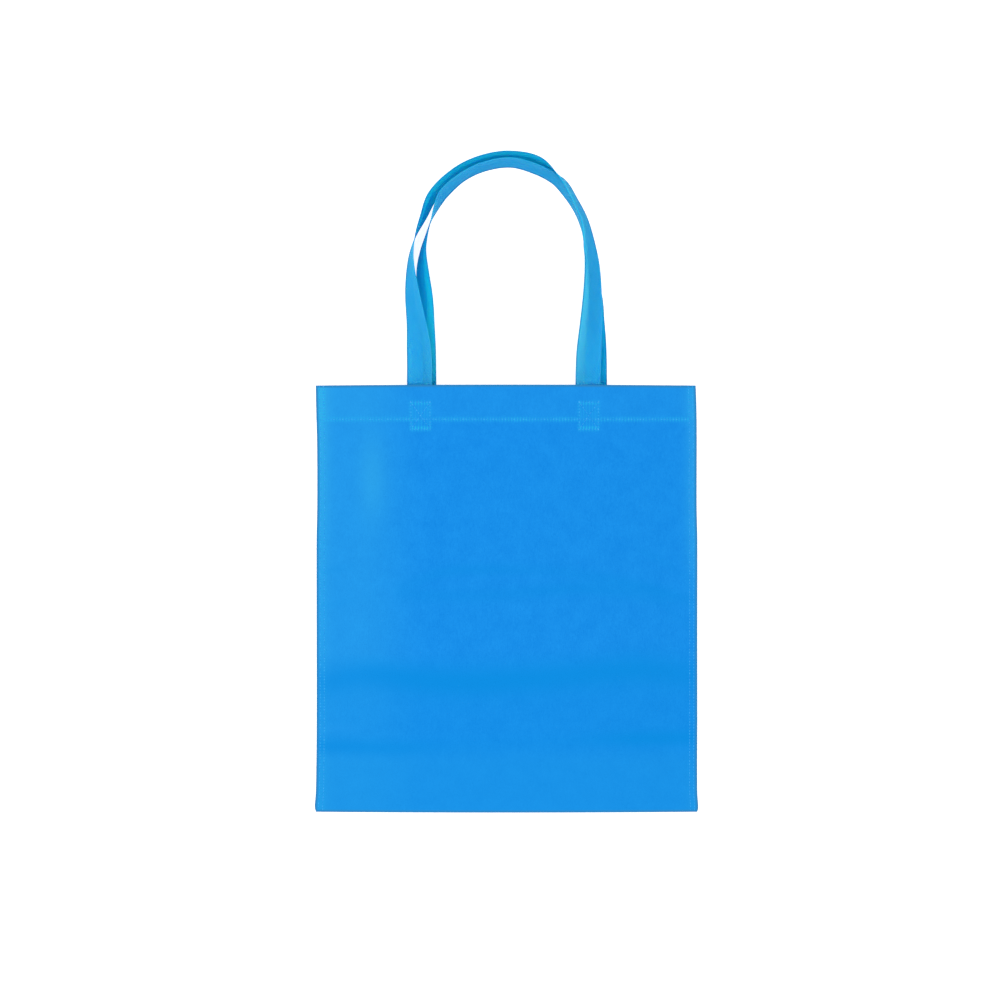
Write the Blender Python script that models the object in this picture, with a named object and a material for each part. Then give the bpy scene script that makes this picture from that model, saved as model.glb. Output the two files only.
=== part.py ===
"""Non-woven tote bag lying on its back panel, in metres, +Z up.

One sheet of spunbond fabric makes the body. It is folded at the bottom, its ends
are turned in as hems at the mouth, and its sides are sewn together. Two folded
straps are sewn inside the mouth as handles. +Y runs from the bottom of the bag to
its handles, +Z out of the front panel. The origin lies on the resting surface,
under the middle of the bag and its handles.
"""
import math

import bmesh
import bpy
from mathutils import Vector
from mathutils.geometry import interpolate_bezier

# Driving sizes of the bag
BAG_WIDTH = 0.380
BAG_HEIGHT = 0.4265
HANDLE_RISE = 0.233
FABRIC = 0.0005
GAP = 0.0003

# Hems and seams, measured from the mouth edge and from the side edges
HEM_DEPTH = 0.0375
HEM_ROW = 0.0345
SEAM_ROWS = {"outer": 0.0035, "inner": 0.0075}
SEAM_FLAT = 0.0100
SEAM_END = 0.0012
THREAD = 0.0004

# How the empty bag fills with a little air
PILLOW_RISE = 0.0140
SIDE_FULLNESS = 2.3
BOTTOM_RAMP = 0.150
MOUTH_SAG = 0.08
BACK_LIFT = 0.0017
LIFT_BLEND = 0.018
STEP_BLEND = 0.012
WAIST = 0.0010
EDGE_BOW = 0.0008

# Straps
STRAP_WIDTH = 0.025
STRAP_THICKNESS = 0.0010
STRAP_END = 0.0470
STRAP_CHAMFER = 0.0003
SEAT_ROOM = 0.0004
HANDLE_SPACING = 0.1695
HANDLE_SHIFT = {"front": -0.0032, "back": 0.0022}
HANDLE_NEST = 0.0073
SEWN_LEAN_IN = 0.0015

# Box of stitches with a cross in it, at each strap end
BOX_WIDTH = 0.0190
BOX_HEIGHT = 0.0270
BOX_TOP = 0.0175

# Soft marks left by folding for transport: height above the bottom, rise in the
# middle, slope across the bag, half width, depth
FOLD_MARKS = (
    (0.2250, 0.0160, -0.030, 0.014, 0.0011),
    (0.1290, -0.0010, 0.045, 0.016, 0.0013),
    (0.0660, -0.0020, 0.015, 0.012, 0.0009),
)

# Grid of the sheet
SIDE_COLUMNS = (0.0, 0.0055, 0.0105, 0.017, 0.026, 0.039, 0.056, 0.077, 0.101, 0.127, 0.158)
PANEL_ROWS = 18
BACK_ROWS = 9
HEM_ROWS = 3
LIFT_ROWS = (0.33, 0.67)
STEP_ROWS = (0.75, 0.5, 0.25, 0.0)
TURN_STEPS = 4
THREAD_STEP = 0.020
ROUTE_STEPS = 4

# The routes of the straps from the left foot over the top to the right foot:
# place across, as a share of half the spacing; height, as a share of the rise;
# lean in degrees from flat, the inner edge going up; height of the low edge in
# route units, or None where the strap starts from its seat in the mouth
ROUTE_UNIT = 0.001
FRONT_ROUTE = (
    (-0.994, 0.00, 0, None),
    (-0.996, 0.120, 8, 9.4),
    (-1.023, 0.247, 35, 4.9),
    (-1.080, 0.405, 56, 1.7),
    (-1.093, 0.545, 77, 1.0),
    (-1.045, 0.640, 90, 1.0),
    (-0.952, 0.725, 104, 1.0),
    (-0.835, 0.826, 111, 1.0),
    (-0.560, 0.927, 107, 1.0),
    (-0.255, 0.981, 105, 1.0),
    (0.080, 1.000, 104, 1.0),
    (0.430, 0.970, 106, 1.0),
    (0.688, 0.893, 83, 5.5),
    (0.853, 0.792, 77, 6.0),
    (0.951, 0.715, 74, 6.6),
    (1.000, 0.630, 65, 8.6),
    (1.038, 0.520, 53, 11.0),
    (1.043, 0.395, 41, 11.2),
    (1.024, 0.260, 27, 10.2),
    (0.999, 0.125, 7, 10.2),
    (0.991, 0.00, 0, None),
)
BACK_ROUTE = (
    (-1.006, 0.00, 0, None),
    (-1.006, 0.125, 12, 1.5),
    (-0.997, 0.255, 35, 1.0),
    (-0.993, 0.385, 50, 1.0),
    (-1.020, 0.510, 61, 1.0),
    (-1.012, 0.602, 77, 1.0),
    (-0.977, 0.665, 85, 1.0),
    (-0.921, 0.737, 91, 1.0),
    (-0.845, 0.808, 104, 1.0),
    (-0.770, 0.858, 112, 1.0),
    (-0.560, 0.935, 115, 1.0),
    (-0.300, 0.982, 116, 1.0),
    (0.015, 1.000, 116, 1.0),
    (0.300, 0.972, 116, 1.0),
    (0.5265, 0.919, 111.5, 1.0),
    (0.6535, 0.8577, 103, 1.0),
    (0.777, 0.7755, 97, 1.0),
    (0.862, 0.6915, 93, 1.0),
    (0.887, 0.615, 87, 1.0),
    (0.945, 0.520, 74, 1.0),
    (1.005, 0.400, 53, 1.0),
    (1.007, 0.270, 36, 1.0),
    (1.006, 0.130, 11, 1.5),
    (1.006, 0.00, 0, None),
)

LAYER = FABRIC + GAP
HALF_WIDTH = BAG_WIDTH / 2
SEWN_DEPTH = max(HEM_DEPTH, STRAP_END, BOX_TOP + BOX_HEIGHT) + SEAM_END
MOUTH_Y = BAG_HEIGHT - (BAG_HEIGHT + HANDLE_RISE) / 2
BOTTOM_Y = MOUTH_Y - BAG_HEIGHT
STRAP_SEAT = LAYER + FABRIC / 2 + GAP + THREAD + SEAT_ROOM + STRAP_THICKNESS / 2
TURN_RADIUS = LAYER / 2


def clear_scene():
    for item in list(bpy.data.objects):
        bpy.data.objects.remove(item, do_unlink=True)


def make_material(name, colour, roughness):
    material = bpy.data.materials.new(name)
    material.use_nodes = True
    shader = material.node_tree.nodes["Principled BSDF"]
    shader.inputs["Base Color"].default_value = (*colour, 1.0)
    shader.inputs["Roughness"].default_value = roughness
    shader.inputs["Metallic"].default_value = 0.0
    return material


def add_object(name, data, material, parent):
    item = bpy.data.objects.new(name, data)
    bpy.context.scene.collection.objects.link(item)
    data.materials.append(material)
    item.parent = parent
    return item


def mesh_from(bm, name):
    bmesh.ops.recalc_face_normals(bm, faces=bm.faces)
    mesh = bpy.data.meshes.new(name)
    bm.to_mesh(mesh)
    bm.free()
    return mesh


def smooth_step(low, high, value):
    share = min(max((value - low) / (high - low), 0.0), 1.0)
    return share * share * (3 - 2 * share)


def near_side(x, reach, blend):
    """1 within reach of a side edge, falling to 0 over the blend."""
    return 1 - smooth_step(reach, reach + blend, HALF_WIDTH - abs(x))


def near_mouth(y, reach, blend):
    """1 within reach of the mouth edge, falling to 0 over the blend."""
    return 1 - smooth_step(reach, reach + blend, MOUTH_Y - y)


def back_height(x, y):
    """Middle of the back panel, which rests flat inside its raised seams."""
    bottom = 1 - smooth_step(SEAM_FLAT / 2, SEAM_FLAT / 2 + LIFT_BLEND, y - BOTTOM_Y)
    raised = max(near_side(x, SEAM_FLAT, LIFT_BLEND), near_mouth(y, SEWN_DEPTH, LIFT_BLEND), bottom)
    return FABRIC / 2 + BACK_LIFT * raised


def fold_mark(x, y):
    """Depth of the soft transport folds below the smooth panel."""
    across = x / HALF_WIDTH
    depth = 0.0
    for height, rise, slope, half_width, fall in FOLD_MARKS:
        line = BOTTOM_Y + height + rise * (1 - across * across) + slope * x
        depth += fall * math.exp(-((y - line) / half_width) ** 2)
    return depth


def bulge(x, y):
    """How far air lifts the front panel off the back panel."""
    inside = min(max((HALF_WIDTH - abs(x) - SEAM_FLAT) / (HALF_WIDTH - SEAM_FLAT), 0.0), 1.0)
    side = 1 - (1 - inside) ** SIDE_FULLNESS
    up = min(max((y - BOTTOM_Y) / BOTTOM_RAMP, 0.0), 1.0)
    bottom = 1 - (1 - up) ** 2
    mouth = 1 - MOUTH_SAG * smooth_step(BOTTOM_RAMP, BAG_HEIGHT, y - BOTTOM_Y)
    return side * bottom * (PILLOW_RISE * mouth - fold_mark(x, y))


def front_height(x, y):
    """Middle of the front panel, which covers two hems near the side seams."""
    stacked = near_side(x, SEAM_FLAT, HEM_DEPTH) * near_mouth(y, HEM_DEPTH + SEAM_END, STEP_BLEND)
    return back_height(x, y) + LAYER * (1 + 2 * stacked) + bulge(x, y)


def side_place(x, y):
    """Where a point of the flat sheet lies across the filled bag."""
    up = (y - BOTTOM_Y) / BAG_HEIGHT
    return x * (1 - WAIST / HALF_WIDTH * math.sin(math.pi * min(max(up, 0.0), 1.0)))


def edge_bow(x):
    """Slight outward bow of the mouth edge and of the bottom fold."""
    return EDGE_BOW * (1 - (x / HALF_WIDTH) ** 2)


def sheet_column(x):
    """The sheet's section at one place across, from the back hem to the front hem."""
    top = MOUTH_Y - EDGE_BOW + edge_bow(x) - TURN_RADIUS - FABRIC / 2
    low = BOTTOM_Y + EDGE_BOW - edge_bow(x) + TURN_RADIUS + FABRIC / 2
    hem_end = MOUTH_Y - HEM_DEPTH
    points = []

    def add(y, z):
        points.append(Vector((side_place(x, y), y, z)))

    def turn(y, z, start, direction):
        for step in range(1, TURN_STEPS):
            angle = start + direction * math.pi * step / TURN_STEPS
            add(y + TURN_RADIUS * math.cos(angle), z + TURN_RADIUS * math.sin(angle))

    for row in range(HEM_ROWS + 1):
        y = hem_end + (top - hem_end) * row / HEM_ROWS
        add(y, back_height(x, y) + LAYER)
    turn(top, back_height(x, top) + TURN_RADIUS, math.pi / 2, -1)
    for y in back_rows(top, low):
        add(y, back_height(x, y))
    turn(low, back_height(x, low) + TURN_RADIUS, -math.pi / 2, -1)
    for y in front_rows(low, top):
        add(y, front_height(x, y))
    turn(top, front_height(x, top) - TURN_RADIUS, math.pi / 2, -1)
    for row in range(HEM_ROWS + 1):
        y = top + (hem_end - top) * row / HEM_ROWS
        add(y, front_height(x, y) - LAYER)
    return points


def back_rows(top, low):
    """Rows of the back panel, close together only where it lifts off."""
    sewn_foot = MOUTH_Y - SEWN_DEPTH
    rest_top = sewn_foot - LIFT_BLEND
    rest_low = low + SEAM_FLAT / 2 + LIFT_BLEND
    rows = [top, (top + sewn_foot) / 2, sewn_foot]
    rows += [sewn_foot - LIFT_BLEND * share for share in LIFT_ROWS]
    rows += [rest_top + (rest_low - rest_top) * step / (BACK_ROWS - 1) for step in range(BACK_ROWS)]
    rows += [rest_low - LIFT_BLEND * share for share in LIFT_ROWS]
    rows += [low + SEAM_FLAT / 4, low]
    return rows


def front_rows(low, top):
    """Rows of the front panel, closer where it steps down below the hem."""
    hem_foot = MOUTH_Y - HEM_DEPTH - SEAM_END
    step_foot = hem_foot - STEP_BLEND
    rows = [low + (step_foot - low) * step / PANEL_ROWS for step in range(PANEL_ROWS)]
    rows += [hem_foot - STEP_BLEND * share for share in (1.0, *STEP_ROWS)]
    rows += [hem_foot + (top - hem_foot) * row / HEM_ROWS for row in range(1, HEM_ROWS + 1)]
    return rows


def sheet_places():
    """Places across at which the sheet's columns stand."""
    left = [-HALF_WIDTH + inset for inset in SIDE_COLUMNS]
    return left + [0.0] + [-place for place in reversed(left)]


def make_body(material, parent):
    bm = bmesh.new()
    columns = [[bm.verts.new(point) for point in sheet_column(x)] for x in sheet_places()]
    for left, right in zip(columns, columns[1:]):
        for row in range(len(left) - 1):
            bm.faces.new((left[row], right[row], right[row + 1], left[row + 1]))
    body = add_object("bag_body", mesh_from(bm, "bag_body"), material, parent)
    thickness = body.modifiers.new("fabric", "SOLIDIFY")
    thickness.thickness = FABRIC
    thickness.offset = 0.0
    thickness.use_even_offset = True
    return body


def panel_surface(side, x, y, rise):
    """A point that lies rise outside the front or the back panel's middle."""
    if side == "front":
        return Vector((side_place(x, y), y, front_height(x, y) + rise))
    return Vector((side_place(x, y), y, back_height(x, y) - rise))


def seat_height(side, x, y):
    """Middle of a strap end that lies against the hem inside the mouth."""
    if side == "front":
        return front_height(x, y) - STRAP_SEAT
    return back_height(x, y) + STRAP_SEAT


def seat_lean(side, x, y):
    """Lean of the sewn strap end, which follows the panel it is sewn to."""
    inward = -math.copysign(STRAP_WIDTH / 2, x)
    rise = seat_height(side, x + inward, y) - seat_height(side, x - inward, y)
    return math.asin(rise / STRAP_WIDTH)


def strap_stations(side, route):
    """Knots of a strap's route: place, and lean in radians, end to end."""
    half = HANDLE_SPACING / 2
    shift = HANDLE_SHIFT[side]
    top_lean = math.radians(max(FRONT_ROUTE, key=lambda station: station[1])[2])
    rise = HANDLE_RISE - abs(math.cos(top_lean)) * STRAP_WIDTH / 2
    if side == "back":
        rise -= HANDLE_NEST
    knots = []
    for across, up, lean, low_edge in route:
        x = shift + across * half
        y = MOUTH_Y + up * rise
        if low_edge is None:
            angle = seat_lean(side, x, y)
            knots.append((Vector((x, y, seat_height(side, x, y))), angle))
            continue
        angle = math.radians(lean)
        z = low_edge * ROUTE_UNIT + STRAP_WIDTH / 2 * math.sin(angle)
        knots.append((Vector((x, y, z)), angle))
    return sewn_end(side, knots[0][0]) + knots + sewn_end(side, knots[-1][0])[::-1]


def sewn_end(side, foot):
    """The hidden end of a strap, from its cut edge up to just below the mouth."""
    ends = []
    for depth in (STRAP_END, BOX_TOP + BOX_HEIGHT / 2, BOX_TOP / 2):
        x = foot.x + SEWN_LEAN_IN * depth / STRAP_END
        y = MOUTH_Y - depth
        ends.append((Vector((x, y, seat_height(side, x, y))), seat_lean(side, x, y)))
    return ends


def smooth_route(knots):
    """Places and leans along one smooth curve through the knots."""
    count = len(knots)
    tangents = []
    for index in range(count):
        before = knots[max(index - 1, 0)]
        after = knots[min(index + 1, count - 1)]
        span = (after[0] - before[0]).length
        tangents.append(((after[0] - before[0]) / span, (after[1] - before[1]) / span))
    route = []
    for index in range(count - 1):
        start, end = knots[index], knots[index + 1]
        third = (end[0] - start[0]).length / 3
        begin, finish = tangents[index], tangents[index + 1]
        places = interpolate_bezier(start[0], start[0] + begin[0] * third,
                                    end[0] - finish[0] * third, end[0], ROUTE_STEPS + 1)
        leans = interpolate_bezier(Vector((start[1], 0)), Vector((start[1] + begin[1] * third, 0)),
                                   Vector((end[1] - finish[1] * third, 0)), Vector((end[1], 0)),
                                   ROUTE_STEPS + 1)
        first = 0 if index == 0 else 1
        route += [(place, lean.x) for place, lean in zip(places[first:], leans[first:])]
    return route


def strap_section():
    """Section of the folded strap: a flat bar with its corners taken off."""
    half = STRAP_WIDTH / 2
    thick = STRAP_THICKNESS / 2
    inset = STRAP_CHAMFER
    return ((half, thick - inset), (half - inset, thick), (inset - half, thick),
            (-half, thick - inset), (-half, inset - thick), (inset - half, -thick),
            (half - inset, -thick), (half, inset - thick))


def make_strap(side, route, material, parent):
    path = smooth_route(strap_stations(side, route))
    bm = bmesh.new()
    rings = []
    for index, (place, lean) in enumerate(path):
        before = path[max(index - 1, 0)][0]
        after = path[min(index + 1, len(path) - 1)][0]
        along = (after - before).normalized()
        inward = Vector((along.y, -along.x, 0)).normalized()
        width = inward * math.cos(lean) + Vector((0, 0, math.sin(lean)))
        width = (width - along * width.dot(along)).normalized()
        face = width.cross(along)
        rings.append([bm.verts.new(place + width * w + face * t) for w, t in strap_section()])
    for ring, next_ring in zip(rings, rings[1:]):
        for corner in range(len(ring)):
            following = (corner + 1) % len(ring)
            bm.faces.new((ring[corner], ring[following], next_ring[following], next_ring[corner]))
    bm.faces.new(rings[0])
    bm.faces.new(rings[-1])
    name = side + "_handle"
    return add_object(name, mesh_from(bm, name), material, parent)


def make_row(name, points, material, parent):
    """One thread of a row of stitches, drawn as a fine round bar."""
    curve = bpy.data.curves.new(name, "CURVE")
    curve.dimensions = "3D"
    curve.bevel_depth = THREAD / 2
    curve.bevel_resolution = 0
    curve.use_fill_caps = True
    spline = curve.splines.new("POLY")
    spline.points.add(len(points) - 1)
    for knot, point in zip(spline.points, points):
        knot.co = (*point, 1.0)
    return add_object(name, curve, material, parent)


def spread(start, end):
    """Even places from start to end, about one thread step apart."""
    count = max(2, round(abs(end - start) / THREAD_STEP))
    return [start + (end - start) * step / count for step in range(count + 1)]


def make_side_seams(material, parent):
    """Two rows down each side, with a thread on each face."""
    rise = FABRIC / 2 + GAP + THREAD / 2
    top = MOUTH_Y - EDGE_BOW - SEAM_END
    hem_foot = MOUTH_Y - HEM_DEPTH - SEAM_END
    rows = spread(BOTTOM_Y + EDGE_BOW + SEAM_END, hem_foot - STEP_BLEND)
    rows += [hem_foot - STEP_BLEND * share for share in STEP_ROWS]
    rows += [(hem_foot + top) / 2, top]
    for hand, sign in (("left", -1), ("right", 1)):
        for row, inset in SEAM_ROWS.items():
            x = sign * (HALF_WIDTH - inset)
            for side in ("front", "back"):
                points = [panel_surface(side, x, y, rise) for y in rows]
                make_row(f"{hand}_seam_{row}_thread_{side}", points, material, parent)


def places_within(reach):
    """The sheet's own places across between two ends, and the ends themselves."""
    return [-reach] + [x for x in sheet_places() if abs(x) < reach] + [reach]


def make_hem_rows(material, parent):
    """One row along each hem, with a thread outside and one in the mouth."""
    reach = HALF_WIDTH - SEAM_FLAT - SEAM_END
    y = MOUTH_Y - HEM_ROW
    outside = FABRIC / 2 + GAP + THREAD / 2
    inside = -(LAYER + FABRIC / 2 + GAP + THREAD / 2)
    inner_reach = reach - HEM_DEPTH
    for side in ("front", "back"):
        points = [panel_surface(side, x, y, outside) for x in places_within(reach)]
        make_row(side + "_hem_thread_outside", points, material, parent)
        points = [panel_surface(side, x, y, inside) for x in places_within(inner_reach)]
        make_row(side + "_hem_thread_inside", points, material, parent)


def box_outline():
    """Corners of the box and of its four three-cornered windows, from its middle."""
    half = (BOX_WIDTH / 2, BOX_HEIGHT / 2)
    bar = THREAD
    outer = [(-half[0], -half[1]), (half[0], -half[1]), (half[0], half[1]), (-half[0], half[1])]
    slant = math.hypot(*half)
    across = bar * slant / half[1] / 2
    along = bar * slant / half[0] / 2
    inner = (half[0] - bar, half[1] - bar)
    windows = []
    for normal in ((0, -1), (1, 0), (0, 1), (-1, 0)):
        if normal[0] == 0:
            apex = (0.0, normal[1] * along)
            base = ((-inner[0] + across, normal[1] * inner[1]), (inner[0] - across, normal[1] * inner[1]))
        else:
            apex = (normal[0] * across, 0.0)
            base = ((normal[0] * inner[0], -inner[1] + along), (normal[0] * inner[0], inner[1] - along))
        windows.append((apex, *base))
    return outer, windows


def make_box(name, side, x_middle, rise, material, parent):
    """The crossed box of one thread, drawn as one thin pierced plate."""
    outer, windows = box_outline()
    y_middle = MOUTH_Y - BOX_TOP - BOX_HEIGHT / 2
    bm = bmesh.new()

    def corner(point):
        return bm.verts.new(panel_surface(side, x_middle + point[0], y_middle + point[1], rise))

    frame = [corner(point) for point in outer]
    bottom, right, top, left = [[corner(point) for point in window] for window in windows]
    bm.faces.new((frame[0], frame[1], bottom[2], bottom[1]))
    bm.faces.new((frame[1], frame[2], right[2], right[1]))
    bm.faces.new((frame[2], frame[3], top[1], top[2]))
    bm.faces.new((frame[3], frame[0], left[1], left[2]))
    bm.faces.new((frame[0], bottom[1], bottom[0], left[0], left[1]))
    bm.faces.new((frame[1], right[1], right[0], bottom[0], bottom[2]))
    bm.faces.new((frame[2], top[2], top[0], right[0], right[2]))
    bm.faces.new((frame[3], left[2], left[0], top[0], top[1]))
    bm.faces.new((bottom[0], right[0], top[0], left[0]))
    box = add_object(name, mesh_from(bm, name), material, parent)
    thickness = box.modifiers.new("thread", "SOLIDIFY")
    thickness.thickness = THREAD
    thickness.offset = 0.0
    return box


def make_boxes(material, parent):
    """A crossed box at each strap end, with a thread outside and one inside."""
    outside = FABRIC / 2 + GAP + THREAD + GAP + THREAD / 2
    inside = -(STRAP_SEAT + STRAP_THICKNESS / 2 + GAP + THREAD / 2)
    for side, route in (("front", FRONT_ROUTE), ("back", BACK_ROUTE)):
        for hand, station in (("left", route[0]), ("right", route[-1])):
            foot = HANDLE_SHIFT[side] + station[0] * HANDLE_SPACING / 2
            x = foot + SEWN_LEAN_IN * (BOX_TOP + BOX_HEIGHT / 2) / STRAP_END
            for face, rise in (("outside", outside), ("inside", inside)):
                make_box(f"{side}_{hand}_box_thread_{face}", side, x, rise, material, parent)


def main():
    clear_scene()
    fabric = make_material("blue_nonwoven_fabric", (0.009, 0.292, 0.831), 0.75)
    strap = make_material("blue_nonwoven_strap", (0.020, 0.340, 0.800), 0.70)
    thread = make_material("blue_polyester_thread", (0.035, 0.420, 0.940), 0.50)
    bag = bpy.data.objects.new("bag_root", None)
    bpy.context.scene.collection.objects.link(bag)
    make_body(fabric, bag)
    make_strap("front", FRONT_ROUTE, strap, bag)
    make_strap("back", BACK_ROUTE, strap, bag)
    make_side_seams(thread, bag)
    make_hem_rows(thread, bag)
    make_boxes(thread, bag)


main()
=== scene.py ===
"""A blue non-woven tote bag that lies on its back panel, seen from straight above."""
import math

import bmesh
import bpy
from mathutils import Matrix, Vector, noise
from mathutils.geometry import interpolate_bezier


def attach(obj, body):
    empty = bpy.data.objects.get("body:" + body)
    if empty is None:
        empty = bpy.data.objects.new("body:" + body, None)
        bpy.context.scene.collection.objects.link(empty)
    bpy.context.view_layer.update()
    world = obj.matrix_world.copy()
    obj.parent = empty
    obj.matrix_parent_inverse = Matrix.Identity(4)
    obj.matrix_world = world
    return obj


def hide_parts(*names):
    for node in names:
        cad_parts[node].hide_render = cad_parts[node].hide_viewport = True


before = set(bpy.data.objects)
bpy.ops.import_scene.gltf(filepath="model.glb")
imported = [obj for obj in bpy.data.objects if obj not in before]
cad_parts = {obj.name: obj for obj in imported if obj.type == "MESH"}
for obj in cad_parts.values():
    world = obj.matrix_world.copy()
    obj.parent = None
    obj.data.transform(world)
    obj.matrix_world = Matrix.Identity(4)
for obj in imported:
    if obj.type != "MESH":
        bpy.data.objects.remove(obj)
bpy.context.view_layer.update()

BODY = "root"

# Sizes of the bag, in metres, as its solids have them
BAG_WIDTH = 0.380
BAG_HEIGHT = 0.4265
HANDLE_RISE = 0.233
FABRIC = 0.0005
GAP = 0.0003
HEM_DEPTH = 0.0375
HEM_ROW = 0.0345
SEAM_ROWS = {"outer": 0.0035, "inner": 0.0075}
SEAM_FLAT = 0.0100
SEAM_END = 0.0012
THREAD = 0.0004
PILLOW_RISE = 0.0140
SIDE_FULLNESS = 2.3
BOTTOM_RAMP = 0.150
MOUTH_SAG = 0.08
BACK_LIFT = 0.0017
LIFT_BLEND = 0.018
STEP_BLEND = 0.012
WAIST = 0.0010
EDGE_BOW = 0.0008
STRAP_WIDTH = 0.025
STRAP_THICKNESS = 0.0010
STRAP_END = 0.0470
SEAT_ROOM = 0.0004
HANDLE_SPACING = 0.1695
HANDLE_SHIFT = {"front": -0.0032, "back": 0.0022}
HANDLE_NEST = 0.0073
# Lean of the front handle's solid at its top, in degrees: the drawn strap leans a little more
TOP_LEAN = 104
SEWN_LEAN_IN = 0.0015
BOX_WIDTH = 0.0190
BOX_HEIGHT = 0.0270
BOX_TOP = 0.0175

# Routes of the straps from the left foot over the top to the right foot: place
# across, as a share of half the spacing; height, as a share of the rise; lean in
# degrees; height of the low edge in millimetres, or None at a foot
ROUTES = {
    "front": (
        (-0.994, 0.00, 0, None), (-0.996, 0.120, 8, 9.4), (-1.023, 0.247, 35, 4.9),
        (-1.080, 0.405, 56, 1.7), (-1.093, 0.545, 77, 1.0), (-1.045, 0.640, 90, 1.0),
        (-0.952, 0.725, 104, 1.0), (-0.829, 0.8245, 114, 1.0), (-0.554, 0.923, 112, 1.0),
        (-0.2515, 0.975, 112, 1.0), (0.080, 0.993, 112, 1.0), (0.425, 0.965, 112, 1.0),
        (0.688, 0.893, 83, 5.5), (0.853, 0.792, 77, 6.0), (0.951, 0.715, 74, 6.6),
        (1.000, 0.630, 65, 8.6), (1.038, 0.520, 53, 11.0), (1.043, 0.395, 41, 11.2),
        (1.024, 0.260, 27, 10.2), (0.999, 0.125, 7, 10.2), (0.991, 0.00, 0, None),
    ),
    "back": (
        (-1.006, 0.00, 0, None), (-1.006, 0.125, 12, 1.5), (-0.997, 0.255, 35, 1.0),
        (-0.993, 0.385, 50, 1.0), (-1.020, 0.510, 61, 1.0), (-1.012, 0.602, 77, 1.0),
        (-0.977, 0.665, 85, 1.0), (-0.921, 0.737, 91, 1.0), (-0.845, 0.808, 104, 1.0),
        (-0.770, 0.858, 112, 1.0), (-0.554, 0.931, 110, 1.0), (-0.297, 0.978, 111, 1.0),
        (0.015, 0.9964, 112, 1.0), (0.298, 0.9695, 113, 1.0), (0.5318, 0.9225, 112, 1.0),
        (0.6585, 0.8606, 103.5, 1.0), (0.785, 0.7797, 97.5, 1.0), (0.8654, 0.692, 93, 1.0),
        (0.887, 0.615, 87, 1.0), (0.945, 0.520, 74, 1.0), (1.005, 0.400, 53, 1.0),
        (1.007, 0.270, 36, 1.0), (1.006, 0.130, 11, 1.5), (1.006, 0.00, 0, None),
    ),
}
ROUTE_STEPS = 8

LAYER = FABRIC + GAP
HALF_WIDTH = BAG_WIDTH / 2
SEWN_DEPTH = max(HEM_DEPTH, STRAP_END, BOX_TOP + BOX_HEIGHT) + SEAM_END
MOUTH_Y = BAG_HEIGHT - (BAG_HEIGHT + HANDLE_RISE) / 2
BOTTOM_Y = MOUTH_Y - BAG_HEIGHT
STRAP_SEAT = LAYER + FABRIC / 2 + GAP + THREAD + SEAT_ROOM + STRAP_THICKNESS / 2
TURN_RADIUS = LAYER / 2
TURN_STEPS = 6

# Soft creases across the front panel: half width and, from left to right, places
# with their depth, all in millimetres. A negative depth stands proud.
CREASES = (
    (6.0, ((-118, -104, 0.0), (-100, -99, 0.35), (-65, -87, 0.75), (-15, -84, 0.85),
           (25, -85, 0.55), (73, -89, 0.55), (133, -100, 0.75), (183, -114, 0.55))),
    (7.0, ((-116, -110, 0.0), (-105, -109, 0.45), (-25, -110, 0.55), (53, -104, 0.85),
           (85, -103, 0.80), (150, -112, 0.50), (180, -120, 0.0))),
    (15.0, ((-183, -197, 0.9), (-140, -188, 1.2), (-95, -193, 1.40), (-45, -196, 1.45),
            (5, -194, 1.40), (85, -187, 1.35), (130, -183, 1.40), (183, -188, 1.0))),
    (8.0, ((-185, -260, 1.05), (-105, -262, 0.85), (-57, -261, 0.35), (53, -257, 0.28),
           (95, -254, 0.75), (130, -253, 1.30), (185, -252, 1.25))),
    (3.6, ((-186, -86, 0.30), (-168, -83, 0.35), (-146, -79, 0.0))),
    (3.4, ((-186, -121, 0.26), (-168, -118, 0.30), (-146, -114, 0.0))),
    (3.6, ((-186, -139, 0.22), (-165, -137, 0.24), (-142, -134, 0.0))),
    (3.8, ((122, -58, 0.0), (140, -68, 0.30), (165, -82, 0.34), (186, -96, 0.20))),
    (3.8, ((146, -112, 0.0), (160, -123, 0.26), (186, -144, 0.22))),
    (3.2, ((-164, 90, 0.0), (-155, 80, -0.30), (-146, 70, -0.28), (-138, 62, 0.0))),
    (4.0, ((-186, -243, -0.30), (-165, -242, -0.34), (-142, -243, 0.0))),
    (15.0, ((-176, -150, -0.55), (-130, -153, -0.70), (-20, -152, -0.45), (70, -155, -0.2),
            (150, -152, 0.0))),
)

# The creases are half pressed out: the share of their depth that is left
CREASE_SHARE = 0.55

# Upright ridge left of the middle: place, slow left and steep right half width, its ends
# up the bag with the length of their fades, and how far it stands proud, in millimetres
RIDGE = {"x": -124.0, "left": 17.0, "right": 5.0, "low": -64.0, "low_fade": 40.0,
         "high": 58.0, "high_fade": 30.0, "rise": 1.15}

# The sides' own small run in and out, in millimetres: height, left side, right side
EDGE_LINE = (
    (-331, 0.6, 0.0), (-326, 2.2, 1.2), (-312, 1.3, 0.4), (-277, 0.9, 0.5), (-240, 0.9, 0.9),
    (-150, 1.3, 1.2), (-60, 1.3, 1.2), (-25, 0.5, 0.4), (40, 0.3, 0.1), (72, 0.9, -0.4),
    (97, 1.2, -1.4),
)
BOTTOM_DROP = 0.0013

# How much paler the fabric is painted beside the left and the right seam: more at the bottom's
# corners and at the mouth. Height in millimetres, left, right.
SEAM_PALE = (
    (-331, 0.4, 0.3), (-250, 0.2, 0.0), (-110, 0.3, 0.1), (-60, 0.4, 0.4), (97, 0.7, 0.4),
)
SEAM_PALE_WIDTH = 0.0105

# How much painted light pales the fabric on the left, low down, on the ridge's lit flank and over
# the hem, and how pale the back panel is, as a share of the paler colour
PALE_AND_LIT_SHARES = {"left": 0.22, "left_less_low": 0.06, "low": 0.15, "ridge": 0.27, "hem": 0.08, "back": 0.10}
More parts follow.
